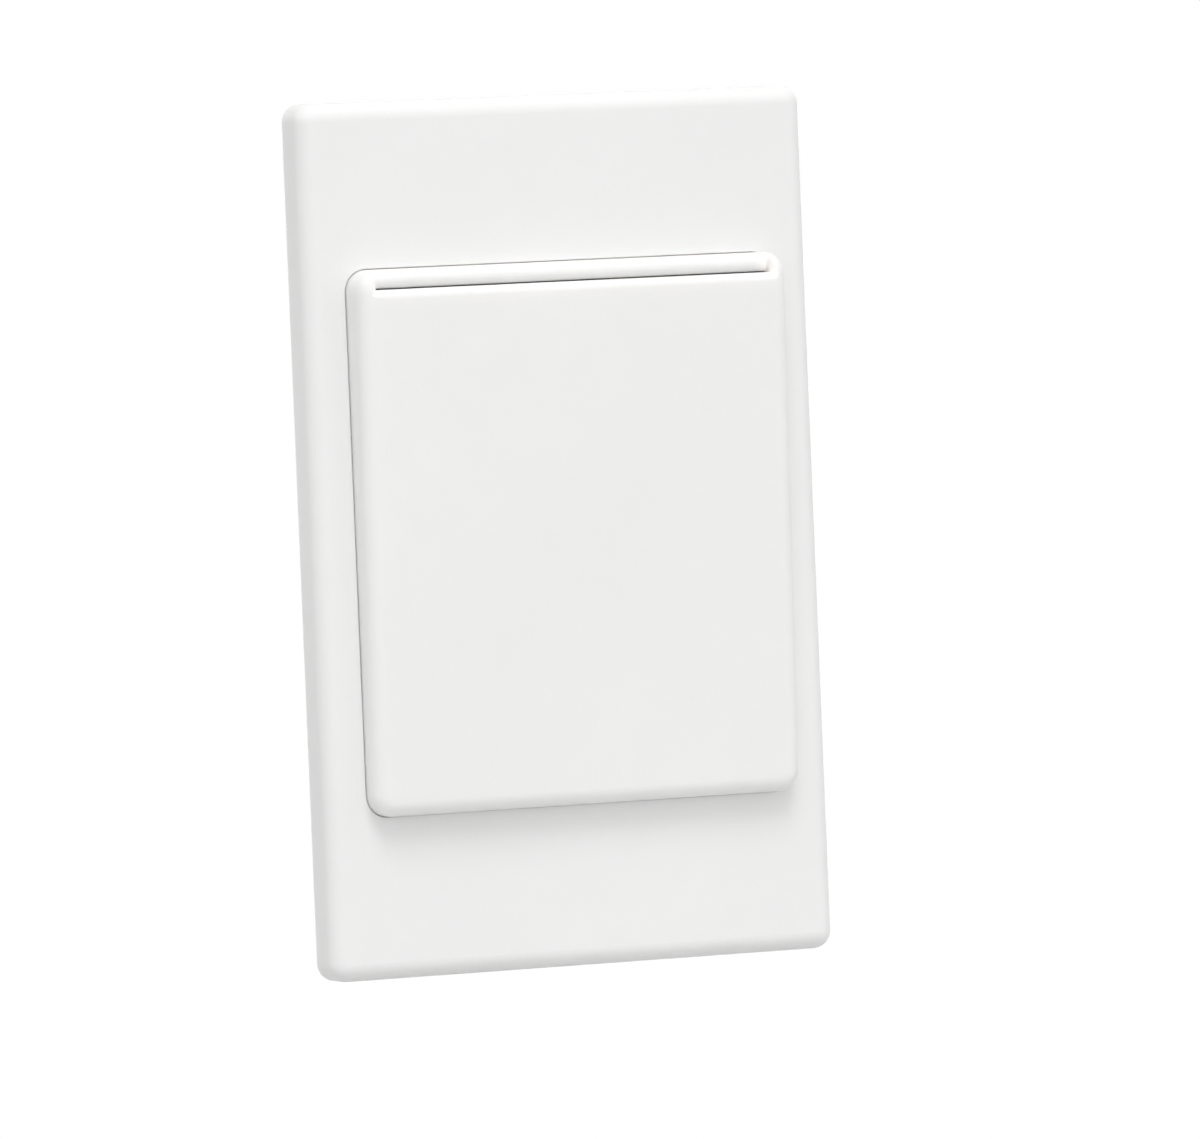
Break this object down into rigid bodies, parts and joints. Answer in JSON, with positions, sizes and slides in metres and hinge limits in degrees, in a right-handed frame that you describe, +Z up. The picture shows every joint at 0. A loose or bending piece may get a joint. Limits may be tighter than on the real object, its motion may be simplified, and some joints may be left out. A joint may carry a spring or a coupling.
{
  "type": "key card switch",
  "caption": "Wall plate with a raised pocket that takes a room's key card, worked by a see-saw lever on a snap switch.",
  "frame": {"origin": "on the wall's surface, midway between the two wall screw holes", "axes": "+X to the right as seen from the room, +Y into the wall, +Z up along the plate's height"},
  "size_m": [0.073, 0.0326, 0.116],
  "materials": {
    "white_plastic": "fine satin moulded",
    "grid_plastic": "satin moulded",
    "dark_plastic": "matt moulded",
    "housing_plastic": "satin moulded",
    "tray_plastic": "matt moulded",
    "lever_plastic": "smooth acetal",
    "switch_plastic": "matt moulded",
    "plunger_plastic": "smooth",
    "steel": "zinc plated",
    "brass": "machined",
    "contact_metal": "stamped strip"
  },
  "bodies": {
    "base": {"cover_plate": "white_plastic", "card_holder": "white_plastic", "grid_plate": "grid_plastic", "card_guide": "dark_plastic", "rear_housing": "housing_plastic", "lever_pin": "steel", "return_spring": "steel", "switch_case": "switch_plastic", "switch_cover": "switch_plastic", "switch_terminal_com": "contact_metal", "switch_terminal_no": "contact_metal", "switch_terminal_nc": "contact_metal", "link_line": "contact_metal", "link_load": "contact_metal", "terminal_tray": "tray_plastic", "terminal_line": "brass", "terminal_screw_line": "steel", "terminal_loop": "brass", "terminal_screw_loop": "steel", "terminal_load": "brass", "terminal_screw_load": "steel", "body_screw_1": "steel", "body_screw_2": "steel", "body_screw_3": "steel", "body_screw_4": "steel", "switch_screw_1": "steel", "switch_screw_2": "steel"},
    "lever": {"card_lever": "lever_plastic"},
    "plunger": {"switch_plunger": "plunger_plastic"},
    "blade": {"switch_blade": "contact_metal"}
  },
  "joints": [
    {"name": "lever_pivot", "type": "hinge", "parent": "base", "child": "lever", "pos_m": [0, 0.008, -0.02515], "axis": [1, 0, 0], "range_deg": [0, 12.55], "stiffness_Nm_per_rad": 0.015, "springref_deg": -28.65, "deforming": ["return_spring"]},
    {"name": "plunger_slide", "type": "slide", "parent": "base", "child": "plunger", "axis": [0, 0, 1], "range_m": [0, 0.000865]},
    {"name": "blade_swing", "type": "hinge", "parent": "base", "child": "blade", "pos_m": [-0.0138, 0.0116, -0.01455], "axis": [0, -1, 0], "range_deg": [0, 1.98]}
  ],
  "couplings": [
    {"joint": "plunger_slide", "follows": "lever_pivot", "m_per_rad": 0.00394},
    {"joint": "blade_swing", "follows": "lever_pivot", "ratio": 0.157}
  ]
}
